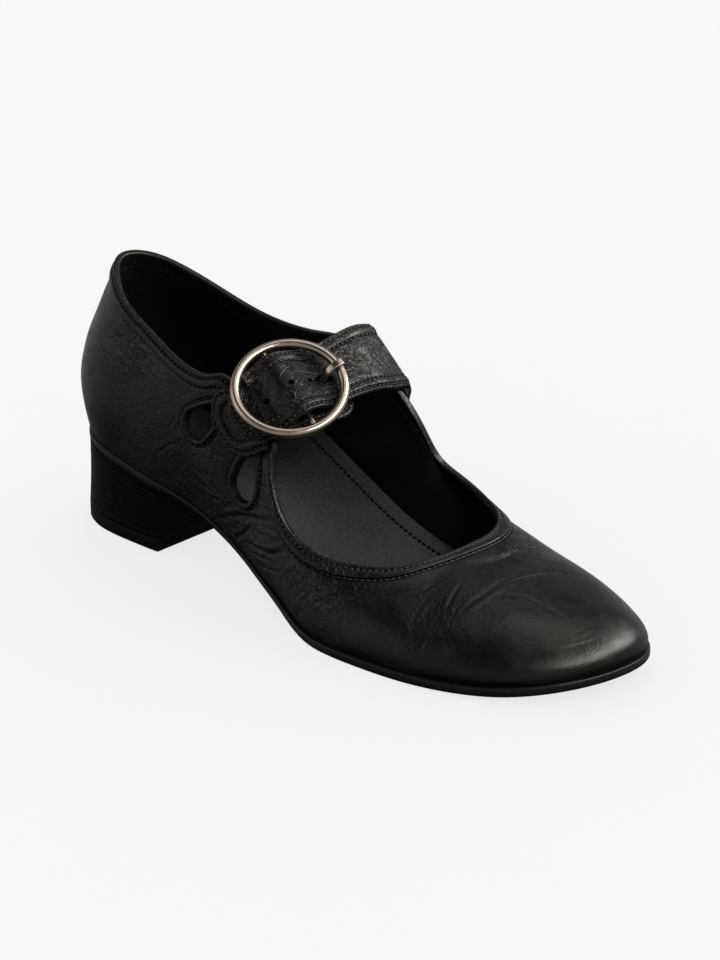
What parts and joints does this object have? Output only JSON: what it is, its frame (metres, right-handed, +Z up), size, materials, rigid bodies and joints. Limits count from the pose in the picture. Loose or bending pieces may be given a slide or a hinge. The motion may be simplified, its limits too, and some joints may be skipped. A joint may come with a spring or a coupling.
{
  "type": "heeled shoe",
  "caption": "Leather shoe for the right foot on a low block heel, with an instep strap held by a round ring buckle and teardrop cut-outs in the outer side.",
  "frame": {"origin": "middle of the bounding box in plan, on the floor", "axes": "+X from the heel to the toe, +Y to the medial side of the right foot, +Z up"},
  "size_m": [0.2438, 0.0814, 0.0979],
  "materials": {
    "upper_leather": "black, crinkled, semi-gloss",
    "sole": "black waxed edge",
    "sock_leather": "dark grey, fine-grained, satin",
    "heel_block": "black stacked layers, waxed",
    "heel_rubber": "matt black",
    "strap_leather": "black, crinkled, semi-gloss",
    "buckle_metal": "polished, warm nickel"
  },
  "bodies": {
    "root": {"upper": "upper_leather", "outsole": "sole", "insole": "sock_leather", "heel": "heel_block", "top_piece": "heel_rubber", "buckle_tab": "strap_leather", "strap": "strap_leather", "buckle_loop": "strap_leather", "buckle_ring": "buckle_metal", "buckle_prong": "buckle_metal"}
  },
  "joints": []
}
